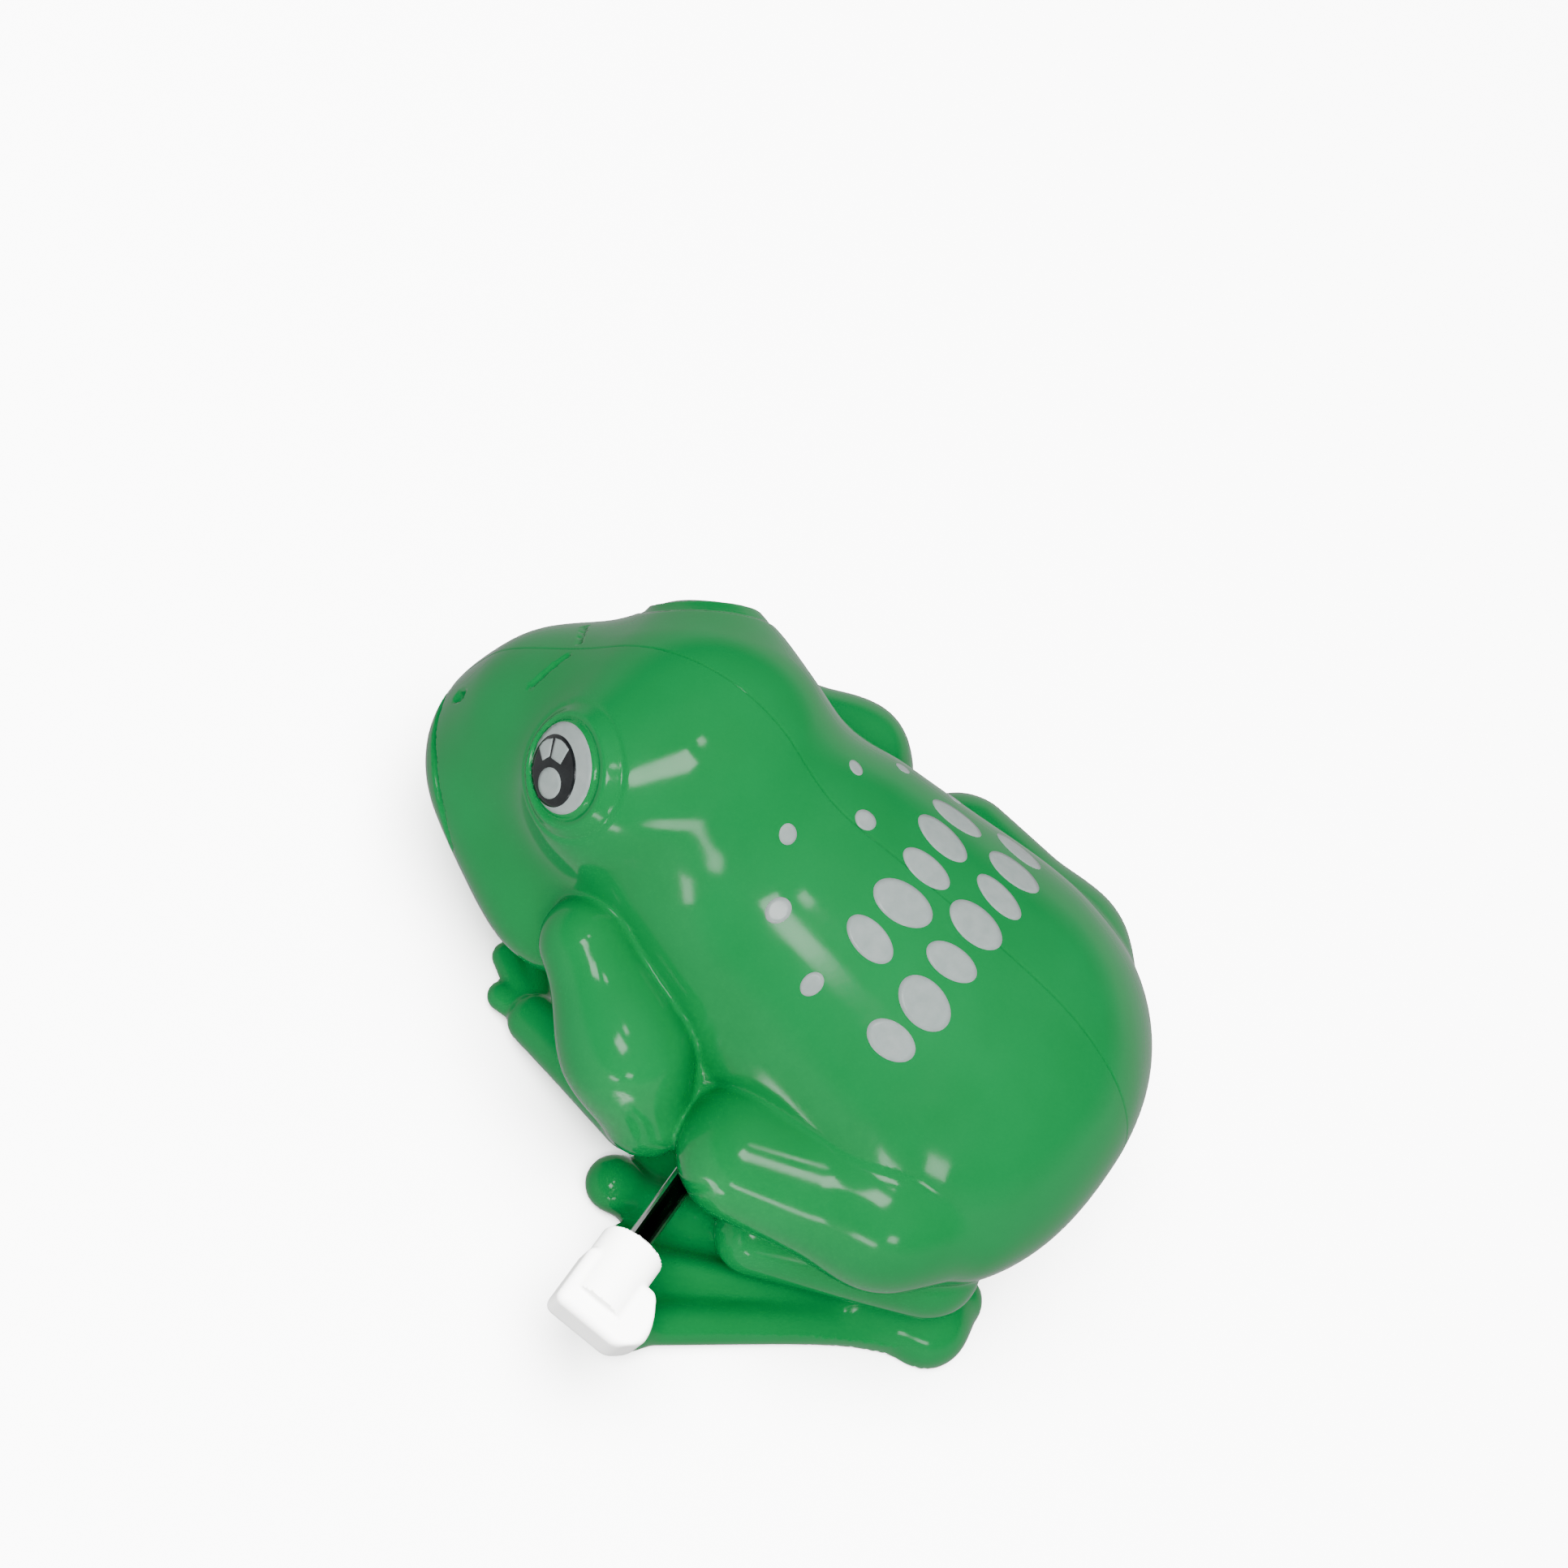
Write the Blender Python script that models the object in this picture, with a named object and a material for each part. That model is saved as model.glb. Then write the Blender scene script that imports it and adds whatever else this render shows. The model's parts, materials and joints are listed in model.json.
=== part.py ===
"""Wind-up jumping frog: a hollow moulded body in two halves, a spring motor in its own case, a winding
key on the left side, and a pair of webbed feet that the motor kicks down.

Frame: millimetres while modelling, metres in the finished objects. The frog looks along -Y, its left
side (the key side) is +X, +Z is up, and z = 0 is the ground that the soles stand on.
"""

import math

import bmesh
import bpy
from mathutils import Matrix, Vector

MM = 0.001  # one millimetre in the scene's metres
GAP = 0.3  # play between neighbouring pieces

# Body shells
WALL = 1.6
VOXEL = 0.95
OUTER_FACES = 4400
CAVITY_FACES = 620
BELLY_HALF_WIDTH = 12.0
BELLY_FRONT_Y = -13.5
BELLY_REAR_Y = 21.5
BELLY_TOP_Z = 10.8

# Winding shaft and key
SHAFT_Y = -3.1
SHAFT_Z = 11.3
SHAFT_RADIUS = 1.2
SHAFT_END_X = 40.6
KEY_INNER_X = 33.4
KEY_OUTER_X = 42.5
KEY_HUB_RADIUS = 3.1
KEY_WIDTH = 8.6
KEY_OFFSET_Y = 1.1  # the wing stands out further on its rear side
KEY_THICKNESS = 4.2

# Motor case
CASE_HALF_WIDTH = 7.6
CASE_WALL = 1.1
CASE_FRONT_Y = -11.4
CASE_REAR_Y = 19.0
CASE_BOTTOM_Z = 3.4
CASE_TOP_Z = 26.2
CASE_CHAMFER = 4.0
CASE_SCREWS = ((-8.6, 22.0), (15.6, 22.6))  # (y, z)
CASE_PILLAR_RADIUS = 1.9

# Gear train
MODULE = 0.5
WHEEL_TEETH = 24
PINION_TEETH = 8
CENTRE_DISTANCE = MODULE * (WHEEL_TEETH + PINION_TEETH) / 2
SECOND_ANGLE = math.radians(52)
THIRD_ANGLE = math.radians(20)
SECOND_Y = SHAFT_Y + CENTRE_DISTANCE * math.cos(SECOND_ANGLE)
SECOND_Z = SHAFT_Z + CENTRE_DISTANCE * math.sin(SECOND_ANGLE)
THIRD_Y = SECOND_Y + CENTRE_DISTANCE * math.cos(THIRD_ANGLE)
THIRD_Z = SECOND_Z + CENTRE_DISTANCE * math.sin(THIRD_ANGLE)
PIN_RADIUS = 0.6
THIRD_SHAFT_RADIUS = 0.8
RATCHET_RADIUS = 3.2
RATCHET_TEETH = 12
CLICK_STUD_RADIUS = 0.55
CLICK_DISTANCE = 4.9
CLICK_ANGLE = math.radians(150)
SPRING_TURNS = 5
SPRING_INNER = 2.0
SPRING_OUTER = 6.2
SPRING_STRIP = 0.3

# Crank and feet
CRANK_RADIUS = 3.6
CRANK_THROW = 2.5
CRANK_PIN_RADIUS = 0.7
CRANK_INNER_X = 8.0
CRANK_OUTER_X = 8.9
CRANK_PIN_END_X = 9.5  # short of the levers, so that each joint can turn alone
LEVER_INNER_X = 9.8
LEVER_OUTER_X = 11.0
HINGE_Y = 17.0
HINGE_Z = 5.2
HINGE_PIN_RADIUS = 0.9
PLATE_TOP_Z = 1.4
PLATE_HALF_WIDTH = 11.0
FOOT_FACES = 1100
HEEL = (14.6, 25.2)
TOES = ((24.7, -8.0), (31.4, -4.6), (36.2, 0.6))
TOE_RADIUS = 2.3

# Body screws, all driven from the right: (y, z) of each
BODY_SCREWS = ((-33.0, 14.0), (-14.3, 26.4), (24.0, 18.5))
SCREW_RADIUS = 0.8
SCREW_HEAD_RADIUS = 1.7
BOSS_RADIUS = 2.9
SCREW_HEAD_X = -4.0
SCREW_TIP_X = 5.0

for thing in list(bpy.data.objects):
    bpy.data.objects.remove(thing)


# ---------------------------------------------------------------- materials

def plastic(name, colour, roughness):
    material = bpy.data.materials.new(name)
    material.use_nodes = True
    shader = material.node_tree.nodes["Principled BSDF"]
    shader.inputs["Base Color"].default_value = (*colour, 1.0)
    shader.inputs["Roughness"].default_value = roughness
    shader.inputs["Metallic"].default_value = 0.0
    return material


def metal(name, colour, roughness):
    material = plastic(name, colour, roughness)
    material.node_tree.nodes["Principled BSDF"].inputs["Metallic"].default_value = 1.0
    return material


GREEN = plastic("green_plastic", (0.01, 0.42, 0.10), 0.18)
WHITE = plastic("white_plastic", (0.86, 0.86, 0.84), 0.32)
CASE = plastic("case_plastic", (0.80, 0.80, 0.76), 0.38)
NYLON = plastic("nylon", (0.88, 0.87, 0.80), 0.42)
STEEL = metal("steel", (0.62, 0.62, 0.60), 0.25)
SPRING_STEEL = metal("spring_steel", (0.32, 0.33, 0.36), 0.30)


# ---------------------------------------------------------------- mesh helpers

def mesh_object(name, bm):
    """Turn a bmesh into an object of the scene."""
    bmesh.ops.recalc_face_normals(bm, faces=bm.faces)
    mesh = bpy.data.meshes.new(name)
    bm.to_mesh(mesh)
    bm.free()
    obj = bpy.data.objects.new(name, mesh)
    bpy.context.scene.collection.objects.link(obj)
    return obj


def ellipsoid(centre, radii, segments=32, rings=16):
    bm = bmesh.new()
    bmesh.ops.create_uvsphere(bm, u_segments=segments, v_segments=rings, radius=1.0)
    bmesh.ops.scale(bm, vec=radii, verts=bm.verts)
    bmesh.ops.translate(bm, vec=centre, verts=bm.verts)
    return mesh_object("ellipsoid", bm)


def box(low, high):
    bm = bmesh.new()
    bmesh.ops.create_cube(bm, size=1.0)
    size = Vector(high) - Vector(low)
    bmesh.ops.scale(bm, vec=size, verts=bm.verts)
    bmesh.ops.translate(bm, vec=Vector(low) + size / 2, verts=bm.verts)
    return mesh_object("box", bm)


def cone_between(start, end, start_radius, end_radius, segments=24):
    """A closed cone or cylinder from one point to another."""
    start = Vector(start)
    axis = Vector(end) - start
    bm = bmesh.new()
    bmesh.ops.create_cone(
        bm, cap_ends=True, segments=segments, radius1=start_radius, radius2=end_radius, depth=axis.length
    )
    turn = Vector((0, 0, 1)).rotation_difference(axis).to_matrix().to_4x4()
    bmesh.ops.transform(bm, matrix=Matrix.Translation(start + axis / 2) @ turn, verts=bm.verts)
    return mesh_object("cone", bm)


def rod(x_start, x_end, y, z, radius, segments=20):
    """A cylinder along X."""
    return cone_between((x_start, y, z), (x_end, y, z), radius, radius, segments)


def limb(start, end, start_radius, end_radius):
    """A round-ended tapering limb, as the list of its overlapping solids."""
    start = Vector(start)
    end = Vector(end)
    axis = end - start
    lean = (start_radius - end_radius) / axis.length
    side = math.sqrt(max(1 - lean * lean, 0.0))
    along = axis.normalized() * lean
    return [
        ellipsoid(start, (start_radius,) * 3, 24, 12),
        ellipsoid(end, (end_radius,) * 3, 24, 12),
        cone_between(
            start + along * start_radius, end + along * end_radius, start_radius * side, end_radius * side
        ),
    ]


def prism(outline, x_start, x_end):
    """A closed outline of (y, z) points, pulled along X."""
    bm = bmesh.new()
    face = bm.faces.new([bm.verts.new((x_start, y, z)) for y, z in outline])
    pulled = bmesh.ops.extrude_face_region(bm, geom=[face])
    moved = [item for item in pulled["geom"] if isinstance(item, bmesh.types.BMVert)]
    bmesh.ops.translate(bm, vec=(x_end - x_start, 0, 0), verts=moved)
    return mesh_object("prism", bm)


def slab(outline, low, high):
    """A closed outline of (x, y) points, pulled along Z."""
    bm = bmesh.new()
    face = bm.faces.new([bm.verts.new((x, y, low)) for x, y in outline])
    pulled = bmesh.ops.extrude_face_region(bm, geom=[face])
    moved = [item for item in pulled["geom"] if isinstance(item, bmesh.types.BMVert)]
    bmesh.ops.translate(bm, vec=(0, 0, high - low), verts=moved)
    return mesh_object("slab", bm)


def bake(obj):
    """Replace an object's mesh by what its modifiers make of it."""
    graph = bpy.context.evaluated_depsgraph_get()
    mesh = bpy.data.meshes.new_from_object(obj.evaluated_get(graph))
    obj.modifiers.clear()
    obj.data = mesh
    return obj


def boolean(obj, other, operation):
    """Cut, join or intersect with another object, which is then removed."""
    modifier = obj.modifiers.new("cut", "BOOLEAN")
    modifier.object = other
    modifier.operation = operation
    bake(obj)
    bpy.data.objects.remove(other)
    return obj


def cut(obj, *others):
    for other in others:
        boolean(obj, other, "DIFFERENCE")
    return obj


def join(obj, *others):
    for other in others:
        boolean(obj, other, "UNION")
    return obj


def copy_of(obj):
    twin = obj.copy()
    twin.data = obj.data.copy()
    bpy.context.scene.collection.objects.link(twin)
    return twin


def mirrored(obj):
    """The mirror image of an object across the middle plane, with its faces still turned outwards."""
    twin = copy_of(obj)
    twin.data.transform(Matrix.Scale(-1, 4, Vector((1, 0, 0))))
    twin.data.flip_normals()
    return twin


def smooth_blend(pieces, voxel, passes, faces):
    """Melt overlapping solids into one soft-edged skin of about the given number of faces."""
    bm = bmesh.new()
    for piece in pieces:
        bm.from_mesh(piece.data)
        bpy.data.objects.remove(piece)
    skin = mesh_object("skin", bm)
    remesh = skin.modifiers.new("melt", "REMESH")
    remesh.mode = "VOXEL"
    remesh.voxel_size = voxel
    smooth = skin.modifiers.new("soften", "SMOOTH")
    smooth.factor = 0.5
    smooth.iterations = passes
    bake(skin)
    skin.data.calc_loop_triangles()
    thin = skin.modifiers.new("thin", "DECIMATE")
    thin.ratio = faces / len(skin.data.loop_triangles)
    return bake(skin)


def finish(obj, name, material, axis_point=(0, 0, 0), sharp_degrees=35):
    """Name a piece, give it its material, and put its origin on its own axis, in metres."""
    obj.name = name
    obj.data.name = name
    obj.data.transform(Matrix.Translation(-Vector(axis_point)))
    obj.data.transform(Matrix.Scale(MM, 4))
    obj.location = Vector(axis_point) * MM
    obj.data.materials.clear()
    obj.data.materials.append(material)
    obj.data.shade_smooth()
    obj.data.set_sharp_from_angle(angle=math.radians(sharp_degrees))
    return obj


# ---------------------------------------------------------------- body shells

def both_sides(maker, start, end, start_radius, end_radius):
    """The same limb on the left and on the right."""
    pieces = []
    for side in (1, -1):
        mirror = Vector((side, 1, 1))
        pieces += maker(Vector(start) * mirror, Vector(end) * mirror, start_radius, end_radius)
    return pieces


def body_masses(inset=0.0):
    """The trunk and the head as overlapping ellipsoids, shrunk by the inset."""
    masses = [
        ((0, 8, 19.5), (20.3, 21.2, 17)),
        ((0, -9, 19.7), (18, 22, 17.4)),
        ((0, -26.8, 25.1), (14.8, 14.6, 16.7)),
        ((0, -28, 12.5), (17.6, 12, 9.3)),
        ((0, -35.8, 16), (10.4, 12.6, 12)),
        ((0, -35, 12.5), (13.4, 13.8, 7.5)),
    ]
    return [
        ellipsoid(centre, [radius - inset for radius in radii], 48, 24) for centre, radii in masses
    ]


def thighs(inset=0.0):
    knee = (20.6, -0.3, 15.5)
    middle = (15.8, 12.5, 17.5)
    hip = (11.6, 18.2, 18.3)
    upper = both_sides(limb, knee, middle, 6.5 - inset, 8.4 - inset)
    return upper + both_sides(limb, middle, hip, 8.4 - inset, 8.7 - inset)


def arms():
    shoulder = (16.4, -24.4, 20.0)
    middle = (21.0, -15.0, 17.4)
    elbow = (21.8, -9.2, 11.4)
    wrist = (17.2, -22.8, 3.0)
    upper = both_sides(limb, shoulder, middle, 4.3, 4.9)
    upper += both_sides(limb, middle, elbow, 4.9, 4.2)
    fore = both_sides(limb, (21.4, -10.0, 8.8), wrist, 3.4, 2.6)
    fingers = []
    for tip in ((13.1, -28.7, 1.9), (12.6, -26.0, 2.6), (16.6, -26.6, 1.6)):
        fingers += both_sides(limb, (16.6, -23.0, 2.8), tip, 1.8, 1.5)
    return upper + fore + fingers


def eye_bulges():
    bulges = []
    for side in (1, -1):
        bulges.append(ellipsoid((side * 8.3, -31.6, 28.8), (7.1, 7.1, 7.1), 24, 12))
    return bulges


def shins():
    return both_sides(limb, (21.4, 5.6, 6.8), (13.4, 20.0, 11.0), 3.8, 5.4)


def body_shells():
    """Both halves of the frog, split at the middle plane, hollow, and open under the belly."""
    outer = smooth_blend(
        body_masses() + thighs() + shins() + arms() + eye_bulges(), VOXEL, 5, OUTER_FACES
    )
    cavity = smooth_blend(body_masses(WALL) + thighs(WALL), 1.6, 3, CAVITY_FACES)
    belly = box(
        (-BELLY_HALF_WIDTH, BELLY_FRONT_Y, -5), (BELLY_HALF_WIDTH, BELLY_REAR_Y, BELLY_TOP_Z)
    )
    right = boolean(copy_of(outer), box((-60, -60, 0), (-GAP / 2, 60, 60)), "INTERSECT")
    left = boolean(copy_of(outer), box((GAP / 2, -60, 0), (60, 60, 60)), "INTERSECT")
    for y, z in BODY_SCREWS:
        cut(cavity, rod(-40, 40, y, z, BOSS_RADIUS))
    for half in (left, right):
        cut(half, copy_of(cavity), copy_of(belly))
    for y, z in BODY_SCREWS:
        cut(left, rod(-1, SCREW_TIP_X + GAP, y, z, SCREW_RADIUS + GAP / 2, 12))
        cut(right, rod(-SCREW_TIP_X, 1, y, z, SCREW_RADIUS + GAP / 2, 12))
        cut(right, rod(-40, SCREW_HEAD_X + GAP, y, z, SCREW_HEAD_RADIUS + GAP))
    cut(left, rod(10, 40, SHAFT_Y, SHAFT_Z, SHAFT_RADIUS + GAP))
    for spare in (outer, cavity, belly):
        bpy.data.objects.remove(spare)
    finish(left, "body_left", GREEN)
    finish(right, "body_right", GREEN)


def cross_head_screw(name, y, z, head_x, tip_x, radius, head_radius):
    """A round-headed screw along X with a cross slot in its head."""
    head_end_x = head_x - 1.2
    screw = join(rod(head_x, tip_x, y, z, radius, 12), rod(head_end_x, head_x + 0.01, y, z, head_radius, 16))
    slot = 0.22 * head_radius
    reach = 0.62 * head_radius
    cut(screw, box((head_end_x - 1, y - slot, z - reach), (head_end_x + 0.6, y + slot, z + reach)))
    cut(screw, box((head_end_x - 1, y - reach, z - slot), (head_end_x + 0.6, y + reach, z + slot)))
    finish(screw, name, STEEL)


# ---------------------------------------------------------------- motor case

def case_outline(inset):
    """The case's side profile, a box with its upper corners cut off, drawn in by the inset."""
    front = CASE_FRONT_Y + inset
    rear = CASE_REAR_Y - inset
    bottom = CASE_BOTTOM_Z + inset
    top = CASE_TOP_Z - inset
    cut_off = CASE_CHAMFER - 0.586 * inset
    return (
        (front, bottom), (rear, bottom), (rear, top - cut_off), (rear - cut_off, top),
        (front + cut_off, top), (front, top - cut_off),
    )


def case_half(side, name):
    """One tray of the motor case, with its bearing holes and screw pillars."""
    inner_x = side * GAP / 2
    outer_x = side * CASE_HALF_WIDTH
    half = prism(case_outline(0), inner_x, outer_x)
    cut(half, prism(case_outline(CASE_WALL), -side * 2, side * (CASE_HALF_WIDTH - CASE_WALL)))
    for y, z in CASE_SCREWS:
        join(half, rod(inner_x, outer_x - side * 0.2, y, z, CASE_PILLAR_RADIUS))
        cut(half, rod(-side * 2, side * 20, y, z, SCREW_RADIUS + GAP / 2, 12))
    holes = (
        (SHAFT_Y, SHAFT_Z, SHAFT_RADIUS),
        (SECOND_Y, SECOND_Z, PIN_RADIUS),
        (THIRD_Y, THIRD_Z, THIRD_SHAFT_RADIUS),
        (HINGE_Y, HINGE_Z, HINGE_PIN_RADIUS),
    )
    for y, z, radius in holes:
        cut(half, rod(-side * 2, side * 20, y, z, radius + GAP * 2 / 3))
    finish(half, name, CASE)


# ---------------------------------------------------------------- gear train

def gear_outline(teeth, y, z, phase=0.0):
    """Straight-flanked teeth of the train's module, round (y, z)."""
    pitch_radius = MODULE * teeth / 2
    crest = pitch_radius + 0.85 * MODULE
    root = pitch_radius - 1.15 * MODULE
    points = []
    for tooth in range(teeth):
        middle = 2 * math.pi * tooth / teeth + phase
        for radius, share in ((root, -0.62), (crest, -0.20), (crest, 0.20), (root, 0.62)):
            angle = middle + share * math.pi / teeth
            points.append((y + radius * math.cos(angle), z + radius * math.sin(angle)))
    return points


def ratchet_outline():
    """Saw teeth: a slow ramp and a steep face."""
    points = []
    for tooth in range(RATCHET_TEETH):
        start = 2 * math.pi * tooth / RATCHET_TEETH
        for radius, turn in ((RATCHET_RADIUS - 0.55, 0.04), (RATCHET_RADIUS, 0.94)):
            angle = start + turn * 2 * math.pi / RATCHET_TEETH
            points.append((SHAFT_Y + radius * math.cos(angle), SHAFT_Z + radius * math.sin(angle)))
    return points


def on_great_wheel(distance, angle):
    """The (y, z) of a point on the great wheel's face."""
    return SHAFT_Y + distance * math.cos(angle), SHAFT_Z + distance * math.sin(angle)


def winder():
    shaft = rod(-7.3, SHAFT_END_X, SHAFT_Y, SHAFT_Z, SHAFT_RADIUS, 24)
    flat = box((KEY_INNER_X + 0.5, SHAFT_Y - 2, SHAFT_Z + 0.75), (60, SHAFT_Y + 2, SHAFT_Z + 2))
    finish(cut(shaft, flat), "winding_shaft", STEEL, (0, SHAFT_Y, SHAFT_Z))

    hub = rod(KEY_INNER_X, KEY_INNER_X + 6, SHAFT_Y, SHAFT_Z, KEY_HUB_RADIUS, 28)
    half_width = KEY_WIDTH / 2
    corner = 2.4
    outline = []
    corners = (
        (KEY_OUTER_X - corner, half_width - corner, 0),
        (KEY_INNER_X + 2.4 + corner, half_width - corner, 90),
        (KEY_INNER_X + 2.4 + corner, corner - half_width, 180),
        (KEY_OUTER_X - corner, corner - half_width, 270),
    )
    for x, y, start in corners:
        for step in range(5):
            angle = math.radians(start + step * 22.5)
            outline.append((x + corner * math.cos(angle), SHAFT_Y + KEY_OFFSET_Y + y + corner * math.sin(angle)))
    wing = slab(outline, SHAFT_Z - KEY_THICKNESS / 2, SHAFT_Z + KEY_THICKNESS / 2)
    bevel = wing.modifiers.new("round", "BEVEL")
    bevel.width = 0.9
    bevel.segments = 2
    bake(wing)
    key = join(hub, wing)
    cut(key, rod(KEY_INNER_X - 1, SHAFT_END_X + GAP, SHAFT_Y, SHAFT_Z, SHAFT_RADIUS + 0.2, 24))
    finish(key, "winding_key", WHITE, (0, SHAFT_Y, SHAFT_Z))

    ratchet = prism(ratchet_outline(), -1.2, -0.2)
    cut(ratchet, rod(-3, 3, SHAFT_Y, SHAFT_Z, SHAFT_RADIUS + 0.2, 24))
    finish(ratchet, "ratchet_wheel", STEEL, (0, SHAFT_Y, SHAFT_Z))


def mainspring():
    """A coiled strip round the winding shaft, hooked to the case at its outer end."""
    steps = SPRING_TURNS * 22
    inner_side = []
    outer_side = []
    for step in range(steps + 1):
        share = step / steps
        angle = 2 * math.pi * SPRING_TURNS * share
        radius = SPRING_INNER + (SPRING_OUTER - SPRING_INNER) * share
        for side, edge in ((inner_side, radius), (outer_side, radius + SPRING_STRIP)):
            side.append((SHAFT_Y + edge * math.cos(angle), SHAFT_Z + edge * math.sin(angle)))
    strip = prism(inner_side + outer_side[::-1], -6.2, -1.8)
    finish(strip, "mainspring", SPRING_STEEL)


def great_wheel():
    wheel = prism(gear_outline(WHEEL_TEETH, SHAFT_Y, SHAFT_Z, SECOND_ANGLE), 0.3, 1.5)
    cut(wheel, rod(-3, 3, SHAFT_Y, SHAFT_Z, SHAFT_RADIUS + 0.25, 24))
    y, z = on_great_wheel(CLICK_DISTANCE, CLICK_ANGLE)
    join(wheel, rod(-1.35, 0.5, y, z, CLICK_STUD_RADIUS, 12))
    anchor_y, anchor_z = on_great_wheel(CLICK_DISTANCE, CLICK_ANGLE + math.radians(100))
    join(wheel, rod(-1.35, 0.5, anchor_y, anchor_z, CLICK_STUD_RADIUS, 12))
    finish(wheel, "great_wheel", NYLON, (0, SHAFT_Y, SHAFT_Z))

    tip_y, tip_z = on_great_wheel(RATCHET_RADIUS + 0.25, CLICK_ANGLE - math.radians(38))
    along = Vector((tip_y - y, tip_z - z)).normalized()
    across = Vector((-along.y, along.x))
    heel = Vector((y, z)) - along * 0.9
    tip = Vector((tip_y, tip_z))
    outline = [
        tuple(heel + across * 1.0), tuple(tip + across * 0.55), tuple(tip),
        tuple(tip - across * 0.15 - along * 0.5), tuple(Vector((y, z)) - across * 0.85), tuple(heel - across * 0.7),
    ]
    pawl = prism(outline, -1.2, -0.2)
    cut(pawl, rod(-3, 1, y, z, CLICK_STUD_RADIUS + 0.15, 12))
    finish(pawl, "click", STEEL, (0, y, z))

    leaf = []
    start = CLICK_ANGLE + math.radians(88)
    end = CLICK_ANGLE + math.radians(22)
    for radius in (5.55, 5.3):
        sweep = [start + (end - start) * step / 8 for step in range(9)]
        points = [on_great_wheel(radius, angle) for angle in sweep]
        leaf += points if radius > 5.4 else points[::-1]
    finish(prism(leaf, -1.1, -0.3), "click_spring", SPRING_STEEL, (0, SHAFT_Y, SHAFT_Z))


def second_wheel():
    """Wheel and pinion moulded in one, turning on a fixed steel pin."""
    half_tooth = math.pi / PINION_TEETH
    pinion_phase = SECOND_ANGLE + math.pi + half_tooth
    pinion = prism(gear_outline(PINION_TEETH, SECOND_Y, SECOND_Z, pinion_phase), 0.1, 3.0)
    wheel = prism(gear_outline(WHEEL_TEETH, SECOND_Y, SECOND_Z, THIRD_ANGLE), 2.6, 3.8)
    both = join(wheel, pinion)
    cut(both, rod(-3, 8, SECOND_Y, SECOND_Z, PIN_RADIUS + 0.2, 16))
    finish(both, "second_wheel", NYLON, (0, SECOND_Y, SECOND_Z))
    finish(rod(-7.3, 7.3, SECOND_Y, SECOND_Z, PIN_RADIUS, 14), "second_pin", STEEL)


def third_wheel():
    """The pinion that turns the cranks, on a shaft through both walls of the case."""
    half_tooth = math.pi / PINION_TEETH
    phase = THIRD_ANGLE + math.pi + half_tooth
    pinion = prism(gear_outline(PINION_TEETH, THIRD_Y, THIRD_Z, phase), 2.3, 4.1)
    cut(pinion, rod(0, 8, THIRD_Y, THIRD_Z, THIRD_SHAFT_RADIUS + 0.2, 16))
    finish(pinion, "third_pinion", NYLON, (0, THIRD_Y, THIRD_Z))
    shaft = rod(-CRANK_OUTER_X + 0.1, CRANK_OUTER_X - 0.1, THIRD_Y, THIRD_Z, THIRD_SHAFT_RADIUS, 16)
    finish(shaft, "third_shaft", STEEL, (0, THIRD_Y, THIRD_Z))


# ---------------------------------------------------------------- cranks and feet

LEVER_REACH = math.hypot(THIRD_Y - HINGE_Y, THIRD_Z - HINGE_Z)
LEVER_AT_MID_STROKE = Vector((THIRD_Y - HINGE_Y, THIRD_Z - HINGE_Z)).normalized()
BACKWARD = Vector((LEVER_AT_MID_STROKE.y, -LEVER_AT_MID_STROKE.x))
CRANK_PIN = Vector((THIRD_Y, THIRD_Z)) + BACKWARD * CRANK_THROW  # at rest the lever leans fully back
LEVER = (CRANK_PIN - Vector((HINGE_Y, HINGE_Z))).normalized()


def crank(side, name):
    """A round crank plate on the end of the third shaft, with its drive pin."""
    plate = rod(side * CRANK_INNER_X, side * CRANK_OUTER_X, THIRD_Y, THIRD_Z, CRANK_RADIUS, 28)
    cut(plate, rod(side * 7, side * 20, THIRD_Y, THIRD_Z, THIRD_SHAFT_RADIUS + 0.2, 16))
    pin = rod(side * (CRANK_OUTER_X - 0.5), side * CRANK_PIN_END_X, *CRANK_PIN, CRANK_PIN_RADIUS, 14)
    join(plate, pin)
    finish(plate, name, NYLON, (0, THIRD_Y, THIRD_Z))


def lever_point(distance, across):
    """The (y, z) of a point on the lever, measured from the hinge along and across it."""
    side = Vector((-LEVER.y, LEVER.x))
    return Vector((HINGE_Y, HINGE_Z)) + LEVER * distance + side * across


def round_slot(from_distance, to_distance, half_width, x_start, x_end):
    """A round-ended bar along the lever's line."""
    outline = []
    for centre, start in ((to_distance, -90), (from_distance, 90)):
        for step in range(9):
            angle = math.radians(start + step * 22.5)
            point = lever_point(centre + half_width * math.cos(angle), half_width * math.sin(angle))
            outline.append(tuple(point))
    return prism(outline, x_start, x_end)


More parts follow.
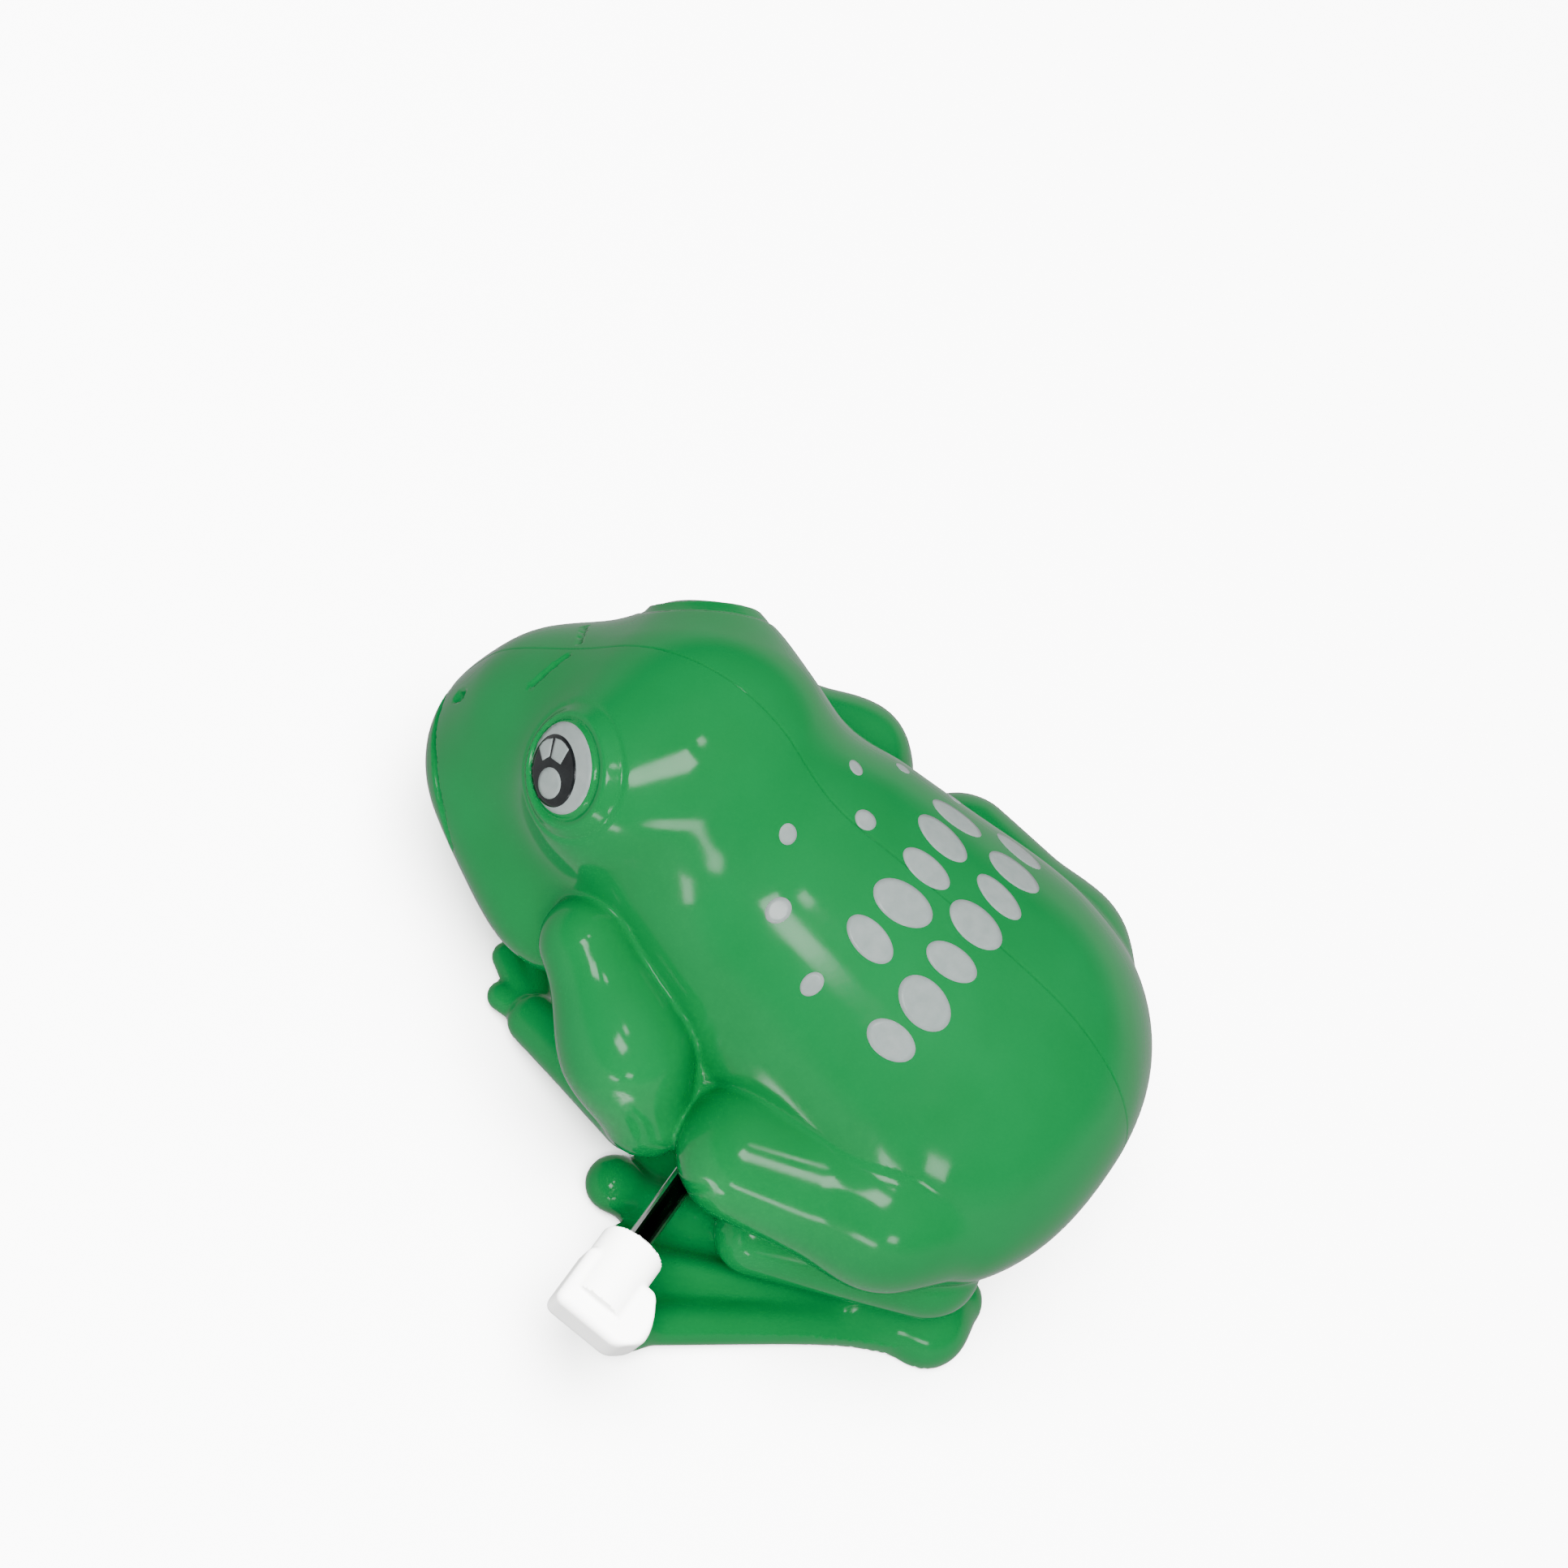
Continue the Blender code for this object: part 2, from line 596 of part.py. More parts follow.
def foot_bridge():
    """The plate between the feet, with the two slotted levers that the cranks push."""
    half = PLATE_HALF_WIDTH
    outline = (
        (-half, -2), (-half + 4, -6), (half - 4, -6), (half, -2), (half + 1.6, 6), (half + 1.6, 20.5),
        (-half - 1.6, 20.5), (-half - 1.6, 6),
    )
    bridge = slab(outline, 0, PLATE_TOP_Z)
    for side in (1, -1):
        inner_x = side * LEVER_INNER_X
        outer_x = side * LEVER_OUTER_X
        lever = round_slot(0, LEVER_REACH + CRANK_THROW + 1.2, 2.0, inner_x, outer_x)
        slot_half = CRANK_PIN_RADIUS + 0.25
        cut(
            lever,
            round_slot(
                LEVER_REACH - CRANK_THROW - 0.4, LEVER_REACH + CRANK_THROW + 0.6, slot_half,
                side * 5, side * 15,
            ),
        )
        foot = box((min(inner_x, outer_x), HINGE_Y - 2.6, 0.4), (max(inner_x, outer_x), HINGE_Y + 2.6, HINGE_Z))
        join(lever, foot)
        cut(lever, rod(side * 5, side * 15, HINGE_Y, HINGE_Z, HINGE_PIN_RADIUS + 0.25, 16))
        join(bridge, lever)
    finish(bridge, "foot_bridge", GREEN, (0, HINGE_Y, HINGE_Z))


def foot_half():
    """The left foot: a thin web between three ridges that end in round toes, on a broad heel."""
    heel_x, heel_y = HEEL
    web = slab(
        (
            (heel_x - 1.6, heel_y + 2), (heel_x + 4.6, heel_y - 0.6), (23.4, 15.2), (27.4, 9.4),
            (34.0, 2.6), (31.0, -2.6), (25.2, -6.2), (20.6, -4.0), (13.6, 5.5), (13.0, 18.0),
        ),
        -1.5, 1.7,
    )
    parts = [web]
    starts = ((15.0, 20.0), (18.0, 18.5), (18.6, 20.0))
    for (toe_x, toe_y), (start_x, start_y) in zip(TOES, starts):
        parts += limb((start_x, start_y, 1.2), (toe_x, toe_y, 1.4), 2.3, 1.7)
        parts.append(ellipsoid((toe_x, toe_y, 1.8), (TOE_RADIUS, TOE_RADIUS, 2.2), 20, 10))
    parts += limb((heel_x, heel_y, 1.0), (17.5, 18.5, 1.0), 4.2, 3.2)
    foot = smooth_blend(parts, 0.55, 4, FOOT_FACES)
    return boolean(foot, box((12.9, -40, 0), (60, 60, 20)), "INTERSECT")


def feet():
    left = foot_half()
    right = mirrored(left)
    finish(left, "foot_left", GREEN, (0, HINGE_Y, HINGE_Z))
    finish(right, "foot_right", GREEN, (0, HINGE_Y, HINGE_Z))


# ---------------------------------------------------------------- assembly

body_shells()
for number, (screw_y, screw_z) in enumerate(BODY_SCREWS, 1):
    cross_head_screw(
        f"body_screw_{number}", screw_y, screw_z, SCREW_HEAD_X, SCREW_TIP_X, SCREW_RADIUS, SCREW_HEAD_RADIUS
    )
case_half(1, "motor_case_left")
case_half(-1, "motor_case_right")
for number, (screw_y, screw_z) in enumerate(CASE_SCREWS, 1):
    cross_head_screw(
        f"case_screw_{number}", screw_y, screw_z, -CASE_HALF_WIDTH - GAP, 7.2, SCREW_RADIUS, 1.4
    )
winder()
mainspring()
great_wheel()
second_wheel()
third_wheel()
crank(1, "crank_left")
crank(-1, "crank_right")
hinge_reach = LEVER_OUTER_X + 0.6
finish(rod(-hinge_reach, hinge_reach, HINGE_Y, HINGE_Z, HINGE_PIN_RADIUS, 16), "foot_hinge_pin", STEEL)
foot_bridge()
feet()
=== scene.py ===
import json
import math

import bmesh
import bpy
import numpy as np
from mathutils import Matrix, Vector


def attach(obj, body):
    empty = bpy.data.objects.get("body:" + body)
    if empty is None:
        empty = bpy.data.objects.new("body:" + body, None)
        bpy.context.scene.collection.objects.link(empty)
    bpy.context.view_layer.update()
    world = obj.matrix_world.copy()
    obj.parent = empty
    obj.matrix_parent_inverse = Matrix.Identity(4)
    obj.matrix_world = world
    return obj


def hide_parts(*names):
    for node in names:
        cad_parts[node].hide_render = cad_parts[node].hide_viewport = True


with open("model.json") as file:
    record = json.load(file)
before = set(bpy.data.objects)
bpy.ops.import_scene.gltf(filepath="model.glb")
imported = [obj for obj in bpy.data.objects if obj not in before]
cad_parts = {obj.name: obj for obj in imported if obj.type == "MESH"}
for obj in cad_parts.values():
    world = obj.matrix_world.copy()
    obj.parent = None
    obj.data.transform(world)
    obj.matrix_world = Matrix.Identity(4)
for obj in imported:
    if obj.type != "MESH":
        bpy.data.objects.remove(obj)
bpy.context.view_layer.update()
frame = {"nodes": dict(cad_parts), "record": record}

MM = 0.001
NODES = frame["nodes"]
CELL = 0.45  # mm, grid of the moulded bodies
WALL = 1.5
PARTING_X = 0.07  # half of the gap between the two halves
LIP_SINK = 0.09  # depth of the fine line where the halves meet

# Shaft, screws and openings, in mm, as in the CAD
SHAFT_Y = -3.1
SHAFT_Z = 11.3
BODY_SCREWS = ((-33.0, 14.0), (-14.3, 26.4), (24.0, 18.5))
SCREW_HEAD_X = -4.0
BELLY = ((-12.0, -13.5, -5.0), (12.0, 21.5, 10.8))


# ---------------------------------------------------------------- distance fields, in mm

def ellipsoid(p, centre, radii):
    """Close to the distance, and exact on the surface."""
    q = p - np.array(centre, float)
    r = np.array(radii, float)
    near = np.linalg.norm(q / r, axis=-1)
    slope = np.linalg.norm(q / r**2, axis=-1)
    return near * (near - 1) / np.maximum(slope, 1e-9)


def round_cone(p, a, b, ra, rb):
    """Distance to two balls and the cone that wraps them."""
    a = np.array(a, float)
    b = np.array(b, float)
    ba = b - a
    l2 = ba @ ba
    rr = ra - rb
    a2 = l2 - rr * rr
    pa = p - a
    y = pa @ ba
    z = y - l2
    x2 = ((pa * l2 - y[..., None] * ba) ** 2).sum(-1)
    y2 = y * y * l2
    z2 = z * z * l2
    k = np.sign(rr) * rr * rr * x2
    out = (np.sqrt(x2 * a2 / l2) + y * rr) / l2 - ra
    out = np.where(np.sign(y) * a2 * y2 < k, np.sqrt(x2 + y2) / l2 - ra, out)
    return np.where(np.sign(z) * a2 * z2 > k, np.sqrt(x2 + z2) / l2 - rb, out)


def join(a, b, k):
    """Union with a fillet about k wide."""
    h = np.clip(0.5 + 0.5 * (b - a) / k, 0, 1)
    return b * (1 - h) + a * h - k * h * (1 - h)


def carve(a, b, k):
    """Cuts b out of a."""
    return -join(-a, b, k)


def box(p, low, high, corner=0.0):
    centre = (np.array(low, float) + np.array(high, float)) / 2
    half = (np.array(high, float) - np.array(low, float)) / 2 - corner
    q = np.abs(p - centre) - half
    return np.linalg.norm(np.maximum(q, 0), axis=-1) + np.minimum(q.max(-1), 0) - corner


def rod(p, x0, x1, y, z, r):
    """A cylinder along X."""
    side = np.hypot(p[..., 1] - y, p[..., 2] - z) - r
    ends = np.abs(p[..., 0] - (x0 + x1) / 2) - abs(x1 - x0) / 2
    return np.maximum(side, ends)


def slope_of(field, p, step=0.02):
    return np.stack([(field(p + step * e) - field(p - step * e)) / (2 * step) for e in np.eye(3)], -1)


def unit(v):
    v = np.array(v, float)
    return v / np.linalg.norm(v)


# ---------------------------------------------------------------- the frog's shape

# The eye, in a plane square to EYE_OUT: EYE_A runs back and down, EYE_C across it
EYE_BALL = np.array((8.1, -31.2, 29.2))
EYE_OUT = unit((0.735, -0.55, 0.39))
EYE_SLANT = np.array((0.672, 0.575, -0.466))
EYE_A = unit(EYE_SLANT - EYE_OUT * (EYE_SLANT @ EYE_OUT))
EYE_C = np.cross(EYE_OUT, EYE_A)
EYE_BALL_RADIUS = 7.3
EYE_FACE_HEIGHT = 6.0  # the printed face is nearly flat, cut from the ball
EYE_FACE_RADIUS = 25.0
WHITE_CENTRE = (-1.08, -0.28)
WHITE_SEMI = (4.16, 3.72)
WHITE_ANGLE = math.atan2(-0.40, -0.92)
RING_CENTRE = (-0.9, 0.25)
RING_SEMI = (5.9, 5.55)
IRIS_CENTRE = (-0.78, -1.12)
IRIS_SEMI = (3.26, 2.92)
IRIS_ANGLE = math.atan2(-0.28, -0.96)
GLINT_CENTRE = (0.35, -1.38)
GLINT_SEMI = (1.40, 1.52)
PANE_FRONT = [(-2.75, -3.3), (-3.2, -2.95), (-3.52, -2.35), (-3.62, -1.55), (-2.01, -1.62), (-1.6, -2.54)]
PANE_REAR = [(-3.66, -1.2), (-3.5, -0.4), (-3.2, 0.15), (-2.72, 0.72), (-1.38, -0.07), (-1.89, -1.38)]


def ellipse_reach(q, centre, semi, angle):
    """How far out a plane point lies, as a share of the ellipse's own radius."""
    d = q - np.array(centre)
    along = d[..., 0] * math.cos(angle) + d[..., 1] * math.sin(angle)
    across = -d[..., 0] * math.sin(angle) + d[..., 1] * math.cos(angle)
    return np.hypot(along / semi[0], across / semi[1])


def bump(x, centre, width):
    """A smooth hill, 1 high at its centre."""
    return np.exp(-(((x - centre) / width) ** 2))


def eye_relief(s):
    """Height in mm that the moulded rings round the eye add."""
    q = s - EYE_BALL
    flat = np.stack([q @ EYE_A, q @ EYE_C], -1)
    white = ellipse_reach(flat, WHITE_CENTRE, WHITE_SEMI, WHITE_ANGLE)
    ring = ellipse_reach(flat, RING_CENTRE, RING_SEMI, WHITE_ANGLE)
    past_white = np.maximum(white - 1, 0)
    between = np.maximum(past_white + np.maximum(1 - ring, 0), 1e-6)
    # w is 0 on the edge of the white and 1 on the edge of the ring
    w = np.where(ring < 1, np.maximum(white - 1, -0.2) / between, 1 + (ring - 1) * 4)
    w = np.where(white < 1, -(1 - white) * 3, w)
    groove, ridge, outer_groove = bump(w, 0.28, 0.13), bump(w, 0.68, 0.18), bump(w, 1.14, 0.2)
    height = -0.34 * groove + 0.32 * ridge - 0.24 * outer_groove
    height -= 0.06 * np.clip(white, 0, 1) * (white < 1)
    return height * np.clip((q @ EYE_OUT - 1.5) / 1.5, 0, 1)


# Small features, on the left side
MOUTH = ((0, -49.4, 13.4), (4.3, -48.4, 14.5), (8.9, -45.3, 14.4), (11.6, -42.0, 13.2), (13.0, -39.2, 11.4))
NOSTRIL = np.array((4.08, -47.3, 18.44))
NOSTRIL_HALF = np.array((0.09, 0.2, 0.5))
CREASE = ((0.9, -41.0, 29.6), (2.1, -41.3, 28.7), (3.1, -41.4, 27.8), (3.9, -41.4, 26.9))
FINGERS = ((13.1, -28.7, 1.9), (12.6, -26.0, 2.6), (16.6, -26.6, 1.6))
SINK_MARKS = ((20.9, -8.4, 16.9), (17.7, -12.3, 21.9))


def plain_body(s):
    """The left side of the body without its small features. Each line adds one mass to those before."""
    rear = ellipsoid(s, (0, 7.5, 19.5), (20.3, 20.7, 17))
    chest = ellipsoid(s, (0, -9, 19.7), (18, 22, 17.4))
    f = join(rear, chest, 6)
    snout = ellipsoid(s, (0, -35.7, 17.3), (11.8, 12.6, 12.8))
    jaw = ellipsoid(s, (0, -35, 12.5), (13.4, 13.8, 7.5))
    cheeks = ellipsoid(s, (0, -28, 12.5), (17.6, 12, 9.3))
    head = join(join(snout, jaw, 4), cheeks, 5)
    dome = ellipsoid(s, (0, -26.8, 25.1), (14.8, 14.6, 16.7))
    ball = np.linalg.norm(s - EYE_BALL, axis=-1) - EYE_BALL_RADIUS
    face_ball = EYE_BALL + EYE_OUT * (EYE_FACE_HEIGHT - EYE_FACE_RADIUS)
    ball = -join(-ball, EYE_FACE_RADIUS - np.linalg.norm(s - face_ball, axis=-1), 0.5)
    dome = join(dome, ball - eye_relief(s), 3.5)
    f = join(f, join(head, dome, 4.8), 5)
    rump = ellipsoid(s, (7.3, 13.2, 16.0), (13.7, 13.7, 12.9))
    f = join(f, rump, 4)
    thigh = join(
        round_cone(s, (20.6, -0.3, 15.5), (15.9, 12.2, 17.4), 6.6, 8.6),
        round_cone(s, (15.9, 12.2, 17.4), (11.2, 17.2, 17.9), 8.6, 8.3), 2,
    )
    shin = round_cone(s, (21.9, 5.8, 6.6), (14.4, 20.4, 9.8), 3.9, 5.3)
    f = join(join(f, thigh, 0.6), shin, 0.6)
    arm = join(
        round_cone(s, (16.8, -23.8, 19.9), (20.7, -15, 16.6), 4.4, 5.0),
        round_cone(s, (20.7, -15, 16.6), (21.6, -9.6, 11.6), 5.0, 4.4), 5,
    )
    flank = ellipsoid(s, (16.8, -8.6, 11.5), (4.0, 4.4, 6.3))
    forearm = round_cone(s, (21.4, -10, 8.8), (17.2, -22.8, 3.0), 3.4, 2.6)
    f = join(join(join(f, flank, 1.5), arm, 0.7), forearm, 0.6)
    for tip in FINGERS:
        f = join(f, round_cone(s, (16.6, -23, 2.8), tip, 1.8, 1.5), 0.4)
    return f


def onto_body(points):
    """The nearest places on the plain body to some points close to it."""
    p = np.array(points, float)
    for _ in range(6):
        slope = slope_of(plain_body, p)
        p -= slope * (plain_body(p) / (slope**2).sum(-1))[:, None]
    return p


MOUTH_LINE = onto_body(MOUTH)
CREASE_LINE = onto_body(CREASE)
NOSTRIL_SLOT = onto_body((NOSTRIL - NOSTRIL_HALF, NOSTRIL + NOSTRIL_HALF))


def body_skin(p):
    """The outside of the moulded body, with its small features."""
    s = np.concatenate([np.abs(p[..., :1]), p[..., 1:]], -1)
    f = plain_body(s)
    for a, b in zip(MOUTH_LINE, MOUTH_LINE[1:]):
        f = carve(f, round_cone(s, a, b, 0.36, 0.36), 0.3)
    f = carve(f, round_cone(s, *NOSTRIL_SLOT, 0.62, 0.55), 0.3)
    for a, b in zip(CREASE_LINE, CREASE_LINE[1:]):
        f = carve(f, round_cone(s, a, b, 0.22, 0.22), 0.35)
    for mark in SINK_MARKS:
        f = f + 0.09 * bump(np.linalg.norm(s - np.array(mark), axis=-1), 0, 0.75)
    wave = np.sin(p[..., 0] * 0.31 + 1.3) * np.sin(p[..., 1] * 0.27 + 0.4) * np.sin(p[..., 2] * 0.35)
    return f + 0.05 * wave


HEEL_LIMB = ((14.6, 25.3, 0.9), (17.4, 19.0, 1.1), 4.2, 3.4)
HEEL_END = ((10.8, 26.3, 0.6), (14.6, 25.3, 0.8), 3.3, 4.0)
HINGE_Y = 17.0
HINGE_Z = 5.2
HEEL_SWEEP = (0.0, 0.15, 0.3)  # radians: the foot's kick lifts the heel behind the hinge
HEEL_ROOM = 0.6


def heel(p, angle):
    """Both heels, turned up about the hinge by an angle."""
    y, z = p[..., 1] - HINGE_Y, p[..., 2] - HINGE_Z
    c, s = math.cos(angle), math.sin(angle)
    q = np.stack([np.abs(p[..., 0]), HINGE_Y + y * c + z * s, HINGE_Z - y * s + z * c], -1)
    return np.minimum(round_cone(q, *HEEL_LIMB), round_cone(q, *HEEL_END))


def body_half(side):
    """The field of one moulded half, side 1 the left and -1 the right: a wall round a hollow."""
    def field(p):
        f = body_skin(p)
        for angle in HEEL_SWEEP:
            f = carve(f, heel(p, angle) - HEEL_ROOM, 0.3)
        hollow = f + WALL
        for y, z in BODY_SCREWS:
            hollow = np.maximum(hollow, -rod(p, -30, 30, y, z, 2.8))
        f = np.maximum(f, -hollow)
        f = np.maximum(f, -box(p, *BELLY))
        for y, z in BODY_SCREWS:
            f = np.maximum(f, -rod(p, SCREW_HEAD_X + 0.6, 5.4, y, z, 0.9))
            if side < 0:
                f = carve(f, rod(p, -60, SCREW_HEAD_X - 0.05, y, z, 2.0), 0.5)
        if side > 0:
            f = np.maximum(f, -rod(p, 6, 60, SHAFT_Y, SHAFT_Z, 1.6))
        return f
    return field


TOES = ((24.6, -7.2), (30.0, -2.6), (35.0, 1.2))
TOE_STARTS = ((16.5, 15.0), (18.6, 18.0), (18.2, 21.0))
TOE_WIDTHS = (1.9, 1.5, 2.0)
# The web's plan: start, end and the radii there
WEB = (
    ((16.5, 19.0, 0), (23.6, -4.2, 0), 2.8, 2.6), ((17.5, 17.0, 0), (28.4, -1.8, 0), 3.0, 2.4),
    ((17.0, 19.0, 0), (32.6, 1.2, 0), 3.0, 2.0), ((15.6, 9.0, 0), (20.6, -4.4, 0), 2.6, 2.8),
    ((16.5, 21.0, 0), (25.4, 3.5, 0), 3.4, 4.6),
)
WEB_FILLETS = (2.0, 2.0, 1.0, 2.0)


def foot(p):
    """The left foot: a thin web under three ridges, each ending in a round toe, and a broad heel."""
    flat = p * np.array((1, 1, 0))
    web = round_cone(flat, *WEB[0])
    for limb, fillet in zip(WEB[1:], WEB_FILLETS):
        web = join(web, round_cone(flat, *limb), fillet)
    f = np.maximum(web, np.abs(p[..., 2] - 0.2) - 1.5)
    for (tx, ty), (sx, sy), width in zip(TOES, TOE_STARTS, TOE_WIDTHS):
        f = join(f, round_cone(p, (sx, sy, 2.9 - width), (tx, ty, 3.1 - width), width, width), 1.3)
        f = join(f, ellipsoid(p, (tx, ty, 1.8), (2.6, 2.6, 2.4)), 1.6)
    f = join(f, round_cone(p, *HEEL_LIMB), 1.4)
    f = join(f, round_cone(p, *HEEL_END), 1.5)
    f = np.maximum(f, -p[..., 2] + 0.02)  # flat underneath
    beside_bridge = 13.0 - p[..., 0]
    behind_bridge = np.maximum(8.6 - p[..., 0], 21.2 - p[..., 1])
    return np.maximum(f, np.minimum(beside_bridge, behind_bridge))


KEY_IN = 33.4
KEY_OUT = 42.5
KEY_CORNER = 0.9
BORE = 1.25


def winding_key(p):
    """A hub on the shaft and a flat wing, with its shoulder and its tail cut at a slant."""
    hub = rod(p, KEY_IN + 0.5, KEY_IN + 6.5, SHAFT_Y, SHAFT_Z, 2.6) - 0.5
    low = (KEY_IN + 2.6, SHAFT_Y - 3.3, SHAFT_Z - 2.1)
    wing = box(p, low, (KEY_OUT, SHAFT_Y + 5.5, SHAFT_Z + 2.1), KEY_CORNER)
    shoulder = (p[..., 0] - KEY_IN - 3.0) * 0.55 - (p[..., 1] - SHAFT_Y - 4.0)
    wing = -join(-wing, shoulder / 1.14, 0.5)
    tail = (KEY_OUT - p[..., 0]) * 0.8 + (SHAFT_Y + 3.6 - p[..., 1]) * 0.75
    wing = -join(-wing, tail / 1.1, 0.5)
    f = join(hub, wing, 0.25)
    return np.maximum(f, -rod(p, 20, 40.7, SHAFT_Y, SHAFT_Z, BORE))


# ---------------------------------------------------------------- from field to mesh

CORNERS = [(i, j, k) for i in (0, 1) for j in (0, 1) for k in (0, 1)]
EDGES = [
    (a, b) for a in CORNERS for b in CORNERS
    if sum(b) - sum(a) == 1 and all(x <= y for x, y in zip(a, b))
]
BLOCK = 8  # cells to a side
BATCH = 150000  # points sampled at once


def sample_grid(field, low, counts, cell):
    """Field values on a grid. Blocks far from the surface take their centre's value."""
    blocks = [np.arange(n // BLOCK) for n in counts]
    centres = np.stack(np.meshgrid(*blocks, indexing="ij"), -1) * BLOCK + (BLOCK - 1) / 2
    coarse = field(low + centres.reshape(-1, 3) * cell).reshape(centres.shape[:3])
    near = np.abs(coarse) < 11 * cell
    for axis in range(3):
        coarse = np.repeat(coarse, BLOCK, axis)
        near = np.repeat(near, BLOCK, axis)
    index = np.argwhere(near)
    for part in np.array_split(index, max(1, len(index) // BATCH)):
        coarse[tuple(part.T)] = field(low + part * cell)
    return coarse


def surface_net(field, low, high, cell):
    """Points and quads of the surface where the field is zero: one point in each cell it crosses."""
    low = np.array(low, float)
    counts = (np.ceil((np.array(high) - low) / cell / BLOCK) * BLOCK).astype(int)
    values = sample_grid(field, low, counts, cell)
    inside = values < 0
    size = counts - 1
    total = sum(
        inside[i:i + size[0], j:j + size[1], k:k + size[2]].astype(np.int8) for i, j, k in CORNERS
    )
    cells = np.argwhere((total > 0) & (total < 8))
    number = np.full(total.shape, -1)
    number[tuple(cells.T)] = np.arange(len(cells))
    place = np.zeros((len(cells), 3))
    crossings = np.zeros(len(cells))
    for a, b in EDGES:
        va = values[tuple((cells + a).T)]
        vb = values[tuple((cells + b).T)]
        crosses = (va < 0) != (vb < 0)
        share = np.where(crosses, va / np.where(crosses, va - vb, 1), 0)
        at = np.array(a) + share[:, None] * (np.array(b) - np.array(a))
        place += at * crosses[:, None]
        crossings += crosses
    points = low + (cells + place / crossings[:, None]) * cell
    quads = []
    for axis in range(3):
        u = np.eye(3, dtype=int)[(axis + 1) % 3]
        v = np.eye(3, dtype=int)[(axis + 2) % 3]
        step = np.eye(3, dtype=int)[axis]
        grown = np.array(counts) - step
        lower = inside[:grown[0], :grown[1], :grown[2]]
        upper = inside[step[0]:, step[1]:, step[2]:]
        edge = np.argwhere(lower != upper)
        fits = np.ones(len(edge), bool)
        for k in range(3):
            fits &= edge[:, k] < size[k]
            fits &= (edge[:, k] > 0) | (k == axis)
        edge = edge[fits]
        quad = np.stack([number[tuple((edge - shift).T)] for shift in (0 * u, u, u + v, v)], -1)
        outward = inside[tuple(edge.T)]
        quads.append(np.where(outward[:, None], quad, quad[:, ::-1]))
    quads = np.concatenate(quads)
    return points, quads[(quads >= 0).all(1)]


def settle(skin, whole, points, reach):
    """Moves the points that lie on the skin exactly onto it."""
    free = np.abs(skin(points) - whole(points)) < 1e-9
    moved = points[free]
    for _ in range(3):
        slope = slope_of(skin, moved)
        size = np.maximum((slope**2).sum(-1), 0.05)
        move = slope * (skin(moved) / size)[:, None]
        length = np.linalg.norm(move, axis=-1, keepdims=True)
        moved = moved - move * np.minimum(1, reach / np.maximum(length, 1e-9))
    result = points.copy()
    result[free] = moved
    return result


def coordinates(mesh):
    co = np.empty(len(mesh.vertices) * 3)
    mesh.vertices.foreach_get("co", co)
    return co.reshape(-1, 3) / MM


def new_mesh(name, points, faces):
    mesh = bpy.data.meshes.new(name)
    mesh.from_pydata((np.asarray(points) * MM).tolist(), [], [list(map(int, f)) for f in faces])
    mesh.validate()
    return mesh


def new_object(name, mesh, material, body):
    obj = bpy.data.objects.new(name, mesh)
    bpy.context.scene.collection.objects.link(obj)
    mesh.materials.clear()
    mesh.materials.append(material)
    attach(obj, body)
    return obj


def moulded(name, whole, skin, low, high, cell, fine=(), cut_x=None):
    """A mesh of a field, refined near its small features, with normals from the field itself.

    With cut_x it ends on a flat, closed rim in the plane x = cut_x, whose outer edge is sunk a little.
    """
    points, quads = surface_net(whole, low, high, cell)
    mesh = new_mesh(name, points, quads)
    bm = bmesh.new()
    bm.from_mesh(mesh)
    if fine:
        co = np.array([f.calc_center_median()[:] for f in bm.faces]) / MM
        pick = np.zeros(len(co), bool)
        for centre, radius in fine:
            pick |= np.linalg.norm(co - np.array(centre), axis=1) < radius
        edges = {e for f, chosen in zip(bm.faces, pick) if chosen for e in f.edges}
        bmesh.ops.subdivide_edges(bm, edges=list(edges), cuts=1, use_grid_fill=True)
    bm.to_mesh(mesh)
    settled = settle(skin, whole, coordinates(mesh), cell * 0.5)
    mesh.vertices.foreach_set("co", (settled * MM).ravel())
    if cut_x is not None:
        bm.clear()
        bm.from_mesh(mesh)
        outward = (1 if cut_x > 0 else -1, 0, 0)
        for plane_x, clear in ((cut_x * 3, False), (cut_x, True)):
            geom = list(bm.verts) + list(bm.edges) + list(bm.faces)
            bmesh.ops.bisect_plane(
                bm, geom=geom, dist=1e-7, plane_co=(plane_x * MM, 0, 0), plane_no=outward,
                clear_inner=clear,
            )
        rim = [e for e in bm.edges if e.is_boundary]
        bmesh.ops.triangle_fill(bm, edges=rim, use_beauty=True)
        bm.to_mesh(mesh)
    bm.free()
    co = coordinates(mesh)
    on_skin = np.abs(skin(co) - whole(co)) < 1e-6
    on_skin &= np.abs(skin(co)) < 0.05
    normals = np.empty(len(mesh.vertices) * 3)
    mesh.vertices.foreach_get("normal", normals)
    normals = normals.reshape(-1, 3)
    exact = slope_of(skin, co)
    exact /= np.maximum(np.linalg.norm(exact, axis=1, keepdims=True), 1e-9)
    if cut_x is not None:
        sunk = on_skin & (np.abs(co[:, 0] - cut_x) < 1e-3)
        co[sunk] -= exact[sunk] * LIP_SINK
        mesh.vertices.foreach_set("co", (co * MM).ravel())
        exact[sunk] = exact[sunk] + np.array((-0.5 if cut_x > 0 else 0.5, 0, 0))
        exact /= np.maximum(np.linalg.norm(exact, axis=1, keepdims=True), 1e-9)
    normals[on_skin] = exact[on_skin]
    mesh.polygons.foreach_set("use_smooth", np.ones(len(mesh.polygons), bool))
    mesh.update()
    mesh.normals_split_custom_set_from_vertices(normals.tolist())
    return mesh


# ---------------------------------------------------------------- materials

